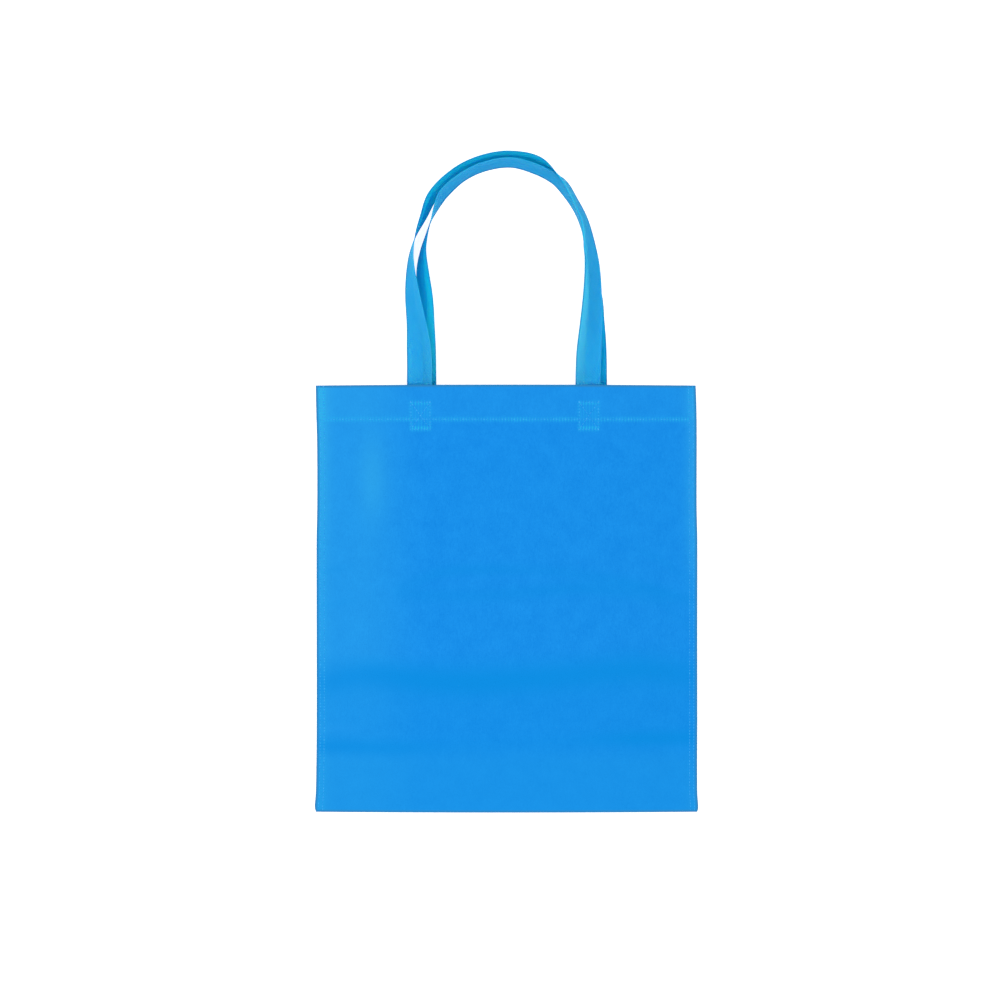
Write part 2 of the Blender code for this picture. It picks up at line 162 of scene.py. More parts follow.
# The painted highlight on the ridge's lit left flank, in millimetres: how far left of its top,
# half width, height of the middle and half height
RIDGE_PATCH = {"left": 10.0, "half_width": 13.0, "middle": 4.0, "half_height": 40.0}
# How much deeper the colour is low on the bag, how strong the painted shade in the creases is, and
# at most
CREASE_SHADE_AND_LOW_TONE = {"lower": 0.28, "lowest": 0.15, "crease": 0.50, "most": 0.95}
# How strong the painted highlights on the fabric's puckers are at each row of stitches. The right
# seam's are weaker: its value is a share of the left seam's.
PUCKER_LIGHT_SHARES = {"hem": 0.66, "seam": 0.30, "seam_in_hem": 0.50, "right_seam": 0.45,
           "box_top": 0.75, "box_inside": 0.26, "box_side": 0.55}


def smooth_step(low, high, value):
    share = min(max((value - low) / (high - low), 0.0), 1.0)
    return share * share * (3 - 2 * share)


def hump(distance, half_width):
    return math.exp(-(distance / half_width) ** 2)


def along_knots(knots, x):
    """Values of a row of knots at x, on a smooth curve, with the ends held."""
    if x <= knots[0][0]:
        return knots[0][1:]
    if x >= knots[-1][0]:
        return knots[-1][1:]
    index = 0
    while knots[index + 1][0] < x:
        index += 1
    start, end = knots[index], knots[index + 1]
    before, after = knots[max(index - 1, 0)], knots[min(index + 2, len(knots) - 1)]
    span = end[0] - start[0]
    share = (x - start[0]) / span
    values = []
    for item in range(1, len(start)):
        begin = (end[item] - before[item]) / (end[0] - before[0]) * span
        finish = (after[item] - start[item]) / (after[0] - start[0]) * span
        square, cube = share * share, share ** 3
        values.append((2 * cube - 3 * square + 1) * start[item]
                      + (cube - 2 * square + share) * begin
                      + (3 * square - 2 * cube) * end[item] + (cube - square) * finish)
    return values


def near_side(x, reach, blend):
    """1 within reach of a side edge, falling to 0 over the blend."""
    return 1 - smooth_step(reach, reach + blend, HALF_WIDTH - abs(x))


def near_mouth(y, reach, blend):
    """1 within reach of the mouth edge, falling to 0 over the blend."""
    return 1 - smooth_step(reach, reach + blend, MOUTH_Y - y)


def back_height(x, y):
    """Middle of the back panel, which rests flat inside its raised seams."""
    bottom = 1 - smooth_step(SEAM_FLAT / 2, SEAM_FLAT / 2 + LIFT_BLEND, y - BOTTOM_Y)
    raised = max(near_side(x, SEAM_FLAT, LIFT_BLEND), near_mouth(y, SEWN_DEPTH, LIFT_BLEND), bottom)
    return FABRIC / 2 + BACK_LIFT * raised


def crease_mark(x, y):
    """How strongly the creases mark a place on the front panel, in millimetres of depth."""
    x_mm, y_mm = x * 1000, y * 1000
    mark = 0.0
    for half_width, knots in CREASES:
        if knots[0][0] - half_width < x_mm < knots[-1][0] + half_width:
            line, fall = along_knots(knots, x_mm)
            mark += fall * hump(y_mm - line, half_width)
    return mark


def crease_depth(x, y):
    """Depth below the smooth panel, of creases that are half pressed out, less the ridge."""
    x_mm, y_mm = x * 1000, y * 1000
    side = RIDGE["left"] if x_mm < RIDGE["x"] else RIDGE["right"]
    ridge = hump(x_mm - RIDGE["x"], side)
    ridge *= smooth_step(RIDGE["low"], RIDGE["low"] + RIDGE["low_fade"], y_mm)
    ridge *= 1 - smooth_step(RIDGE["high"] - RIDGE["high_fade"], RIDGE["high"], y_mm)
    return (CREASE_SHARE * crease_mark(x, y) - RIDGE["rise"] * ridge) / 1000


# Wide and fine unevenness: waves to the metre, place in the noise, and height in metres
RUMPLES = ((34, 1.7, 0.00022), (110, 8.3, 0.00005))


def rumple(x, y):
    """Gentle unevenness of fabric that has been folded, unfolded and handled."""
    return sum(noise.noise(Vector((x * waves, y * waves, place))) * height
               for waves, place, height in RUMPLES)


PULL_DEPTH = 0.00016


def stitch_pull(x, y):
    """How far the rows of stitches pull the front panel in."""
    edge = HALF_WIDTH - abs(x)
    pull = sum(hump(edge - inset, 0.0012) for inset in SEAM_ROWS.values())
    pull += hump(MOUTH_Y - y - HEM_ROW, 0.0013)
    return PULL_DEPTH * min(pull, 1.0)


# The front panel is free to rumple from this far inside its sewn sides and bottom fold
FREE_BLEND = 0.02


def bulge(x, y):
    """How far air lifts the front panel off the back panel."""
    inside = min(max((HALF_WIDTH - abs(x) - SEAM_FLAT) / (HALF_WIDTH - SEAM_FLAT), 0.0), 1.0)
    side = 1 - (1 - inside) ** SIDE_FULLNESS
    up = min(max((y - BOTTOM_Y) / BOTTOM_RAMP, 0.0), 1.0)
    bottom = 1 - (1 - up) ** 2
    mouth = 1 - MOUTH_SAG * smooth_step(BOTTOM_RAMP, BAG_HEIGHT, y - BOTTOM_Y)
    free = (smooth_step(0.0, FREE_BLEND, HALF_WIDTH - abs(x) - SEAM_FLAT / 2)
            * smooth_step(0.0, FREE_BLEND, y - BOTTOM_Y))
    return side * bottom * PILLOW_RISE * mouth + free * (rumple(x, y) - crease_depth(x, y))


def front_height(x, y):
    """Middle of the front panel, which covers two hems near the side seams."""
    stacked = near_side(x, SEAM_FLAT, HEM_DEPTH) * near_mouth(y, HEM_DEPTH + SEAM_END, STEP_BLEND)
    return back_height(x, y) + LAYER * (1 + 2 * stacked) + bulge(x, y)


def side_place(x, y):
    """Where a point of the flat sheet lies across the filled bag."""
    up = min(max((y - BOTTOM_Y) / BAG_HEIGHT, 0.0), 1.0)
    left, right = along_knots(EDGE_LINE, y * 1000)
    out = -left if x < 0 else right
    share = max(abs(x) / HALF_WIDTH, 0.0) ** 3
    return x * (1 - WAIST / HALF_WIDTH * math.sin(math.pi * up)) + out / 1000 * share


def edge_bow(x):
    """Slight outward bow of the mouth edge and of the bottom fold."""
    return EDGE_BOW * (1 - (x / HALF_WIDTH) ** 2)


def spread(start, end, pitch):
    """Even places from start to end, about one pitch apart."""
    count = max(1, round(abs(end - start) / pitch))
    return [start + (end - start) * step / count for step in range(count + 1)]


def box_middle(side, station):
    """Place across of the middle of the box of stitches below a strap's foot."""
    foot = HANDLE_SHIFT[side] + station[0] * HANDLE_SPACING / 2
    return foot + SEWN_LEAN_IN * (BOX_TOP + BOX_HEIGHT / 2) / STRAP_END


def box_middles(side):
    return [box_middle(side, station) for station in (ROUTES[side][0], ROUTES[side][-1])]


# The sheet's columns: close ones in a band at each seam, wider ones between the bands, and
# a few close ones at each side of the boxes of stitches
SEAM_BAND = 0.014
SEAM_COLUMN = 0.0010
PANEL_COLUMN = 0.0034
BOX_COLUMNS = (-0.0024, -0.0012, 0.0, 0.0012, 0.0024)
LEAST_COLUMN = 0.0007


def sheet_places():
    """Places across of the sheet's columns, close together at the seams and box sides."""
    seam = spread(-HALF_WIDTH, -HALF_WIDTH + SEAM_BAND, SEAM_COLUMN)
    half = seam + spread(-HALF_WIDTH + SEAM_BAND, 0.0, PANEL_COLUMN)[1:]
    wide = half + [-place for place in reversed(half[:-1])]
    close = []
    for middle in box_middles("front"):
        for edge in (middle - BOX_WIDTH / 2, middle + BOX_WIDTH / 2):
            close += [edge + step for step in BOX_COLUMNS]
    clear = [place for place in wide if min(abs(place - other) for other in close) > LEAST_COLUMN]
    return sorted(clear + close)


# Spans between the sheet's rows on each hem and on the back panel
HEM_SPANS = 9
BACK_SPANS = 72


def sheet_column(x):
    """The sheet's section at one place across, from the back hem to the front hem."""
    top = MOUTH_Y - EDGE_BOW + edge_bow(x) - TURN_RADIUS - FABRIC / 2
    low = BOTTOM_Y + EDGE_BOW - edge_bow(x) + TURN_RADIUS + FABRIC / 2 - BOTTOM_DROP
    hem_end = MOUTH_Y - HEM_DEPTH
    points = []

    def add_point(y, z):
        points.append(Vector((side_place(x, y), y, z)))

    def turn(y, z, start):
        for step in range(1, TURN_STEPS):
            angle = start - math.pi * step / TURN_STEPS
            add_point(y + TURN_RADIUS * math.cos(angle), z + TURN_RADIUS * math.sin(angle))

    hem_rows = spread(0.0, 1.0, 1 / HEM_SPANS)
    for share in hem_rows:
        y = hem_end + (top - hem_end) * share
        add_point(y, back_height(x, y) + LAYER)
    turn(top, back_height(x, top) + TURN_RADIUS, math.pi / 2)
    for share in spread(0.0, 1.0, 1 / BACK_SPANS):
        y = top + (low - top) * share
        add_point(y, back_height(x, y))
    turn(low, back_height(x, low) + TURN_RADIUS, -math.pi / 2)
    for y in front_rows(low, top):
        add_point(y, front_height(x, y) - stitch_pull(x, y))
    turn(top, front_height(x, top) - TURN_RADIUS, math.pi / 2)
    for share in hem_rows:
        y = top + (hem_end - top) * share
        add_point(y, front_height(x, y) - LAYER)
    return points


# Rows at both ends of the front panel, where its darker rim is painted, partly as edge shade
RIM_STEPS = (0.0, 0.0006, 0.0013, 0.0022)


def front_rows(low, top):
    """Rows of the front panel, closer over the hem and at the edges, as many at every x."""
    row = MOUTH_Y - HEM_ROW
    # Each mark comes with the number of spans that lead up to it
    marks = ((low + RIM_STEPS[-1], 0), (row - 0.016, 120), (row - 0.003, 8), (row + 0.003, 10),
             (top - RIM_STEPS[-1], 16))
    rows = [low + step for step in RIM_STEPS]
    for (start, _), (end, count) in zip(marks, marks[1:]):
        rows += [start + (end - start) * step / count for step in range(1, count + 1)]
    rows += [top - step for step in reversed(RIM_STEPS[:-1])]
    return rows


# Nodes and colours

def srgb(text):
    """An sRGB hex colour as linear red, green, blue and alpha."""
    values = [int(text[place:place + 2], 16) / 255 for place in (1, 3, 5)]
    linear = [v / 12.92 if v <= 0.04045 else ((v + 0.055) / 1.055) ** 2.4 for v in values]
    return (*linear, 1.0)


def add(tree, kind, settings=None, links=None):
    """Adds one node, sets its properties and sockets, and links other sockets into it."""
    node = tree.nodes.new(kind)
    for key, value in (settings or {}).items():
        if isinstance(key, str) and hasattr(node, key):
            setattr(node, key, value)
        else:
            node.inputs[key].default_value = value
    for key, source in (links or {}).items():
        tree.links.new(source, node.inputs[key])
    return node


def new_material(name):
    material = bpy.data.materials.new(name)
    material.use_nodes = True
    material.node_tree.nodes.clear()
    return material, material.node_tree


BOND_PITCH = 0.0021
CLOUD_SIZE = 0.0200
PUCKER_PITCH = 0.0030
# Colour of the painted highlights on the puckers beside the stitches
PUCKER_HIGHLIGHT = "#24B8EE"
# The web's threads are finer than a hair, so its streaks are drawn a few times coarser
STREAK_SIZE = 0.0018


def pucker_highlights(tree, flat, direction, share_name):
    """Painted highlights: short light bars at a row of stitches, one beside each stitch, where the
    puckers catch the light.
    """
    bars = add(tree, "ShaderNodeTexWave",
               {"bands_direction": direction, "Scale": math.tau / 20 / PUCKER_PITCH,
                "Distortion": 1.6, "Detail": 1.0}, {"Vector": flat.outputs["UV"]})
    light = add(tree, "ShaderNodeMapRange", {"To Min": 0.20}, {"Value": bars.outputs["Fac"]})
    share = add(tree, "ShaderNodeAttribute", {"attribute_name": share_name})
    return add(tree, "ShaderNodeMath", {"operation": "MULTIPLY"},
               {0: light.outputs["Result"], 1: share.outputs["Fac"]})


def spunbond(name, deep, full, pale_and_lit, shade_and_low_colour, edge, roughness, glow):
    """Spunbond polypropylene: a matte web of fine threads, welded in rows of small points.

    It looks soft and even, with faint clouds and streaks. It is painted paler beside the
    seams, with painted light where the light falls more strongly and painted highlights on the
    puckers beside stitches. Painted shade deepens it in its creases, it is deeper in colour
    low on the bag, and its dense rims are darker, partly as painted edge shade. With glow,
    light sinks in and spreads inside, as it does in a strap that stands up.
    """
    material, tree = new_material(name)
    flat = add(tree, "ShaderNodeUVMap", {"uv_map": "flat"})
    turned = add(tree, "ShaderNodeMapping", {"Rotation": (0.0, 0.0, math.radians(45))},
                 {"Vector": flat.outputs["UV"]})
    bonds = add(tree, "ShaderNodeTexVoronoi",
                {"voronoi_dimensions": "2D", "Scale": 1 / BOND_PITCH, "Randomness": 0.0},
                {"Vector": turned.outputs["Vector"]})
    points = add(tree, "ShaderNodeMapRange",
                 {"From Min": 0.20, "From Max": 0.34, "To Min": 1.0, "To Max": 0.0},
                 {"Value": bonds.outputs["Distance"]})
    clouds = add(tree, "ShaderNodeTexNoise",
                 {"noise_dimensions": "2D", "Scale": 1 / CLOUD_SIZE, "Detail": 5.0,
                  "Roughness": 0.62},
                 {"Vector": flat.outputs["UV"]})
    stretched = add(tree, "ShaderNodeMapping", {"Scale": (1.0, 0.35, 1.0)},
                    {"Vector": flat.outputs["UV"]})
    fibres = add(tree, "ShaderNodeTexNoise",
                 {"noise_dimensions": "2D", "Scale": 1 / STREAK_SIZE, "Detail": 3.0,
                  "Roughness": 0.65, "Distortion": 1.4},
                 {"Vector": stretched.outputs["Vector"]})
    tone = add(tree, "ShaderNodeMath", {"operation": "MULTIPLY_ADD", 1: 0.60},
               {0: clouds.outputs["Fac"], 2: fibres.outputs["Fac"]})
    share = add(tree, "ShaderNodeMapRange", {"From Min": 0.52, "From Max": 1.08},
                {"Value": tone.outputs["Value"]})
    colour = add(tree, "ShaderNodeMix", {"data_type": "RGBA", 6: srgb(deep), 7: srgb(full)},
                 {0: share.outputs["Result"]})
    # Paler beside the seams, and painted light on the left, low down, on the ridge, over the hem
    # and at the straps' feet
    pale_and_lit_node = add(tree, "ShaderNodeAttribute", {"attribute_name": "pale_and_lit"})
    pale = add(tree, "ShaderNodeMix", {"data_type": "RGBA", 7: srgb(pale_and_lit)},
               {0: pale_and_lit_node.outputs["Fac"], 6: colour.outputs[2]})
    # Painted shade in the creases, and a deeper colour low on the bag
    crease_shade_and_low_tone = add(tree, "ShaderNodeAttribute", {"attribute_name": "crease_shade_and_low_tone"})
    shaded = add(tree, "ShaderNodeMix", {"data_type": "RGBA", 7: srgb(shade_and_low_colour)},
                 {0: crease_shade_and_low_tone.outputs["Fac"], 6: pale.outputs[2]})
    # Painted highlights on the puckers beside the stitches
    raised = add(tree, "ShaderNodeMath", {"operation": "MAXIMUM"},
                 {0: pucker_highlights(tree, flat, "X", "sewn_across").outputs["Value"],
                  1: pucker_highlights(tree, flat, "Y", "sewn_up").outputs["Value"]})
    sewn = add(tree, "ShaderNodeMix", {"data_type": "RGBA", 7: srgb(PUCKER_HIGHLIGHT)},
               {0: raised.outputs["Value"], 6: shaded.outputs[2]})
    # Darker rim: partly the denser edge, partly painted edge shade
    rim_and_edge_shade = add(tree, "ShaderNodeAttribute", {"attribute_name": "rim_and_edge_shade"})
    edged = add(tree, "ShaderNodeMix", {"data_type": "RGBA", 7: srgb(edge)},
                {0: rim_and_edge_shade.outputs["Fac"], 6: sewn.outputs[2]})
    dent = add(tree, "ShaderNodeMath", {"operation": "MULTIPLY_ADD", 1: -0.8},
               {0: points.outputs["Result"], 2: fibres.outputs["Fac"]})
    bump = add(tree, "ShaderNodeBump", {"Strength": 0.55, "Distance": 0.00010},
               {"Height": dent.outputs["Value"]})
    shader = add(tree, "ShaderNodeBsdfPrincipled",
                 {"Roughness": roughness, "IOR": 1.49, "Specular IOR Level": 0.07,
                  "Sheen Weight": 0.02, "Sheen Roughness": 0.5,
                  "Subsurface Weight": glow, "Subsurface Radius": (0.7, 0.8, 0.5),
                  "Subsurface Scale": 0.007},
                 {"Base Color": edged.outputs[2], "Normal": bump.outputs["Normal"]})
    add(tree, "ShaderNodeOutputMaterial", {}, {"Surface": shader.outputs["BSDF"]})
    return material


TWIST_PITCH = 0.0008


def polyester_thread(name, shade, light):
    """Spun polyester thread: two plies twisted together, with a painted highlight on their crowns.
    """
    material, tree = new_material(name)
    place = add(tree, "ShaderNodeTexCoord")
    plies = add(tree, "ShaderNodeTexWave",
                {"bands_direction": "DIAGONAL", "Scale": 1 / TWIST_PITCH / 20, "Distortion": 0.4},
                {"Vector": place.outputs["Object"]})
    colour = add(tree, "ShaderNodeMix", {"data_type": "RGBA", 6: srgb(shade), 7: srgb(light)},
                 {0: plies.outputs["Fac"]})
    bump = add(tree, "ShaderNodeBump", {"Strength": 0.4, "Distance": 0.00005},
               {"Height": plies.outputs["Fac"]})
    shader = add(tree, "ShaderNodeBsdfPrincipled",
                 {"Roughness": 0.60, "Specular IOR Level": 0.12},
                 {"Base Color": colour.outputs[2], "Normal": bump.outputs["Normal"]})
    add(tree, "ShaderNodeOutputMaterial", {}, {"Surface": shader.outputs["BSDF"]})
    return material


def bare_ray(tree):
    """1 for rays that look at the background itself, straight or through a reflection."""
    path = add(tree, "ShaderNodeLightPath")
    seen = add(tree, "ShaderNodeMath", {"operation": "MAXIMUM"},
               {0: path.outputs["Is Camera Ray"], 1: path.outputs["Is Glossy Ray"]})
    return add(tree, "ShaderNodeMath", {"operation": "MAXIMUM"},
               {0: seen.outputs["Value"], 1: path.outputs["Is Transmission Ray"]})


FLOOR_LIFT = 0.72


def paper_floor(name):
    """Smooth matte white background paper that keeps a soft shadow."""
    material, tree = new_material(name)
    paper = add(tree, "ShaderNodeBsdfDiffuse", {"Color": srgb("#EBEBEB")})
    lift = add(tree, "ShaderNodeMath", {"operation": "MULTIPLY", 1: FLOOR_LIFT},
               {0: bare_ray(tree).outputs["Value"]})
    glow = add(tree, "ShaderNodeEmission", {}, {"Strength": lift.outputs["Value"]})
    both = add(tree, "ShaderNodeAddShader", {},
               {0: paper.outputs["BSDF"], 1: glow.outputs["Emission"]})
    add(tree, "ShaderNodeOutputMaterial", {}, {"Surface": both.outputs["Shader"]})
    return material


# Pieces

def new_object(name, data, *materials):
    item = bpy.data.objects.new(name, data)
    bpy.context.scene.collection.objects.link(item)
    for material in materials:
        data.materials.append(material)
    return item


def dress(piece, slot, *nodes):
    """Rides a finished piece on the bag and lets it stand for its solids."""
    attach(piece, BODY)
    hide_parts(*nodes)
    return piece


def pale_and_lit_share(x, y):
    """How pale the fabric is painted: beside the seams, and with painted light on the left, low
    down, on the ridge's lit flank and over the hem.
    """
    edge = HALF_WIDTH - abs(x)
    left_seam_pale, right_seam_pale = along_knots(SEAM_PALE, y * 1000)
    seam = (left_seam_pale if x < 0 else right_seam_pale) * hump(edge, SEAM_PALE_WIDTH)
    # Painted light: paler on the left and low down, towards the key light at the lower left
    left = PALE_AND_LIT_SHARES["left"] - PALE_AND_LIT_SHARES["left_less_low"] * smooth_step(0.180, 0.260, -y)
    left *= smooth_step(0.075, 0.150, -x)
    low = PALE_AND_LIT_SHARES["low"] * smooth_step(0.258, 0.285, -y)
    aside = (x * 1000 - RIDGE["x"] + RIDGE_PATCH["left"]) / RIDGE_PATCH["half_width"]
    along = (y * 1000 - RIDGE_PATCH["middle"]) / RIDGE_PATCH["half_height"]
    ridge = PALE_AND_LIT_SHARES["ridge"] * math.exp(-(aside ** 2 + along ** 2))
    hem = PALE_AND_LIT_SHARES["hem"] * (1 - smooth_step(HEM_DEPTH - 0.004, HEM_DEPTH, MOUTH_Y - y))
    return min(seam + left + low + ridge + hem, 1.0)


# The rim on the sheet's edges is whole up to the first inset and gone at the second
RIM_REACH = (0.0011, 0.0030)


def rim_and_edge_shade_share(x, y):
    """1 on the sheet's cut sides and folded ends, where a darker edge is painted, partly the denser
    edge and partly painted edge shade, and 0 inside.
    """
    inset = min(HALF_WIDTH - abs(x), MOUTH_Y - EDGE_BOW + edge_bow(x) - y,
                y - BOTTOM_Y + BOTTOM_DROP - EDGE_BOW + edge_bow(x))
    return 1 - smooth_step(*RIM_REACH, inset)


# The shade in a crease lies this far below its line, on the slope that faces away from
# the key light at the lower left
SHADE_DROP = 0.004


def crease_shade_and_low_tone_share(x, y):
    """How much painted shade lies in the creases, and how much deeper the colour is towards the
    bottom of the bag.
    """
    low = (CREASE_SHADE_AND_LOW_TONE["lower"] * smooth_step(0.150, 0.210, -y)
           + CREASE_SHADE_AND_LOW_TONE["lowest"] * smooth_step(0.255, 0.290, -y))
    creased = crease_mark(x, y + SHADE_DROP) * CREASE_SHADE_AND_LOW_TONE["crease"]
    return min(max(low + creased, 0.0), CREASE_SHADE_AND_LOW_TONE["most"])


def sewn_shares(side, x, y):
    """How strong the painted highlights on the puckers are at the rows that run across, and at
    those that run up.
    """
    depth = MOUTH_Y - y
    edge = HALF_WIDTH - abs(x)
    uneven = 1 + 0.6 * noise.noise(Vector((x * 45, y * 45, 5.1)))
    across = PUCKER_LIGHT_SHARES["hem"] * uneven * hump(depth - HEM_ROW - 0.0002, 0.0021)
    across *= smooth_step(0.006, 0.009, edge)
    upward = max(hump(edge - inset, 0.0013) for inset in SEAM_ROWS.values())
    in_hem = 1 - smooth_step(HEM_DEPTH - 0.003, HEM_DEPTH + 0.003, depth)
    upward *= PUCKER_LIGHT_SHARES["seam"] + PUCKER_LIGHT_SHARES["seam_in_hem"] * in_hem
    upward *= 1.0 if x < 0 else PUCKER_LIGHT_SHARES["right_seam"]
    low, high = BOX_TOP + BOX_HEIGHT, BOX_TOP
    for middle in box_middles(side):
        aside = abs(x - middle)
        within = 1 - smooth_step(BOX_WIDTH / 2 + 0.0006, BOX_WIDTH / 2 + 0.0016, aside)
        between = smooth_step(high - 0.003, high, depth)
        between *= 1 - smooth_step(low, low + 0.003, depth)
        ends = max(hump(depth - low + 0.001, 0.0024),
                   PUCKER_LIGHT_SHARES["box_top"] * hump(depth - high - 0.001, 0.0020))
        across = max(across, within * max(ends, PUCKER_LIGHT_SHARES["box_inside"] * between))
        beside = between * hump(aside - BOX_WIDTH / 2, 0.0016)
        upward = max(upward, PUCKER_LIGHT_SHARES["box_side"] * beside)
    return min(across, 1.0), min(upward, 1.0)


def make_sheet(material):
    """The bag's body: one sheet, folded at the bottom and turned in at the mouth."""
    places = sheet_places()
    mesh = bpy.data.meshes.new("bag_sheet")
    columns = [sheet_column(x) for x in places]
    rows = len(columns[0])
    flat = []
    looks = {name: [] for name in ("pale_and_lit", "crease_shade_and_low_tone", "rim_and_edge_shade", "sewn_across", "sewn_up")}
    front_from = (HEM_SPANS + 1) + (BACK_SPANS + 1) + 2 * (TURN_STEPS - 1)
    for x, column in zip(places, columns):
        run = 0.0
        for row, point in enumerate(column):
            if row:
                run += (point - column[row - 1]).length
            flat.append((x, run))
            on_front = row >= front_from
            across, upward = sewn_shares("front" if on_front else "back", x, point.y)
            looks["pale_and_lit"].append(pale_and_lit_share(x, point.y) if on_front else PALE_AND_LIT_SHARES["back"])
            looks["crease_shade_and_low_tone"].append(crease_shade_and_low_tone_share(x, point.y) if on_front else 0.0)
            looks["rim_and_edge_shade"].append(rim_and_edge_shade_share(x, point.y))
            looks["sewn_across"].append(across)
            looks["sewn_up"].append(upward)
    faces = []
    for column in range(len(places) - 1):
        for row in range(rows - 1):
            first = column * rows + row
            faces.append((first, first + 1, first + rows + 1, first + rows))
    mesh.from_pydata([point for column in columns for point in column], [], faces)
    uv = mesh.uv_layers.new(name="flat")
    for loop in mesh.loops:
        uv.data[loop.index].uv = flat[loop.vertex_index]
    for name, values in looks.items():
        mesh.attributes.new(name, "FLOAT", "POINT").data.foreach_set("value", values)
    mesh.shade_smooth()
    sheet = new_object("bag_sheet", mesh, material)
    solid = sheet.modifiers.new("fabric", "SOLIDIFY")
    solid.thickness = FABRIC
    solid.offset = 0.0
    solid.use_even_offset = True
    return dress(sheet, "blue_nonwoven_fabric", "bag_body")


def panel_surface(side, x, y, rise):
    """A point that lies rise outside the front or the back panel's middle."""
    if side == "front":
        return Vector((side_place(x, y), y, front_height(x, y) - stitch_pull(x, y) + rise))
    return Vector((side_place(x, y), y, back_height(x, y) - rise))


def seat_height(side, x, y):
    """Middle of a strap end that lies against the hem inside the mouth."""
    if side == "front":
        return front_height(x, y) - STRAP_SEAT
    return back_height(x, y) + STRAP_SEAT


def seat_lean(side, x, y):
    """Lean of the sewn strap end, which follows the panel it is sewn to."""
    inward = -math.copysign(STRAP_WIDTH / 2, x)
    rise = seat_height(side, x + inward, y) - seat_height(side, x - inward, y)
    return math.asin(rise / STRAP_WIDTH)


def sewn_end(side, foot):
    """The hidden end of a strap, from its cut edge up to just below the mouth."""
    ends = []
    for depth in (STRAP_END, BOX_TOP + BOX_HEIGHT / 2, BOX_TOP / 2):
        x = foot.x + SEWN_LEAN_IN * depth / STRAP_END
        y = MOUTH_Y - depth
        ends.append((Vector((x, y, seat_height(side, x, y))), seat_lean(side, x, y)))
    return ends


def strap_stations(side):
    """Knots of a strap's route: place, and lean in radians, end to end."""
    rise = HANDLE_RISE - abs(math.cos(math.radians(TOP_LEAN))) * STRAP_WIDTH / 2
    if side == "back":
        rise -= HANDLE_NEST
    knots = []
    for across, up, lean, low_edge in ROUTES[side]:
        x = HANDLE_SHIFT[side] + across * HANDLE_SPACING / 2
        y = MOUTH_Y + up * rise
        if low_edge is None:
            knots.append((Vector((x, y, seat_height(side, x, y))), seat_lean(side, x, y)))
            continue
        angle = math.radians(lean)
        z = low_edge / 1000 + STRAP_WIDTH / 2 * math.sin(angle)
        knots.append((Vector((x, y, z)), angle))
    return sewn_end(side, knots[0][0]) + knots + sewn_end(side, knots[-1][0])[::-1]


def smooth_route(knots):
    """Places and leans along one smooth curve through the knots."""
    count = len(knots)
    tangents = []
    for index in range(count):
        before = knots[max(index - 1, 0)]
        after = knots[min(index + 1, count - 1)]
        span = (after[0] - before[0]).length
        tangents.append(((after[0] - before[0]) / span, (after[1] - before[1]) / span))
    route = []
    for index in range(count - 1):
        start, end = knots[index], knots[index + 1]
        third = (end[0] - start[0]).length / 3
        begin, finish = tangents[index], tangents[index + 1]
        places = interpolate_bezier(start[0], start[0] + begin[0] * third,
                                    end[0] - finish[0] * third, end[0], ROUTE_STEPS + 1)
        leans = interpolate_bezier(Vector((start[1], 0)), Vector((start[1] + begin[1] * third, 0)),
                                   Vector((end[1] - finish[1] * third, 0)), Vector((end[1], 0)),
                                   ROUTE_STEPS + 1)
        first = 0 if index == 0 else 1
        route += [(place, lean.x) for place, lean in zip(places[first:], leans[first:])]
    return route


# The strap is a strip folded in three: a middle layer whose raw edge stops short of
# the left edge, the smooth outer layer, and an inner layer that stops past the middle
STRIP = 0.00027
STRIP_PITCH = 0.00033
MIDDLE_EDGE = -0.0095
INNER_EDGE = 0.0035
PRESSED = 0.00012
# The darker rim's width where the strap lies flat: partly its denser folded edge, partly painted
# edge shade. It is drawn wider where the strap stands up, so that it looks as wide from above, but
# never more than RIM_WIDTH / RIM_SLOPE.
RIM_WIDTH = 0.0015
RIM_SLOPE = 0.30
# An edge that lies against the other strap has no light behind it, so it stands out less.
# The straps swap sides on the right, this far above the mouth.
NESTED_RIM = 0.15
CROSSING = 0.130
# The straps' feet are painted paler, as painted light against the shade near the bag's mouth: most
# at the mouth, fading up the strap over this length
FOOT_LIGHT_REACH = 0.150
FOOT_PAINTED_LIGHT = 0.8


def strap_section():
    """Outline of the pressed strap: across, out, and whether it is the outer face."""
    half = STRAP_WIDTH / 2
    face = STRIP_PITCH + STRIP / 2
    right = half - (STRIP_PITCH + STRIP) / 2
    left = face - half
    line = [(across, -STRIP / 2, False)
            for across in (right, right - RIM_WIDTH, 0.0098, 0.0070, INNER_EDGE + 0.0006)]
    line += [(INNER_EDGE, -STRIP / 2, False), (INNER_EDGE, -face, False)]
    line += [(across, -face, False)
             for across in spread(INNER_EDGE - 0.0006, left + RIM_WIDTH, 0.0036)]
    line.append((left, -face, False))
    for degrees in (240, 210, 180, 150, 120):
        angle = math.radians(degrees)
        line.append((left + face * math.cos(angle), face * math.sin(angle), degrees < 200))
    for across in (left, left + RIM_WIDTH, MIDDLE_EDGE - 0.0008, MIDDLE_EDGE,
                   MIDDLE_EDGE + 0.0009, -0.0040, 0.0, INNER_EDGE - 0.0008, INNER_EDGE,
                   INNER_EDGE + 0.0008, 0.0070, 0.0098, right - RIM_WIDTH, right):
        pressed = PRESSED if across in (INNER_EDGE, MIDDLE_EDGE) else 0.0
        line.append((across, face - pressed, True))
    for degrees in (45, 0, -45):
        angle = math.radians(degrees)
        line.append((right + (half - right) * math.cos(angle),
                     STRIP_PITCH / 2 + (half - right) * math.sin(angle), degrees > -40))
    return line


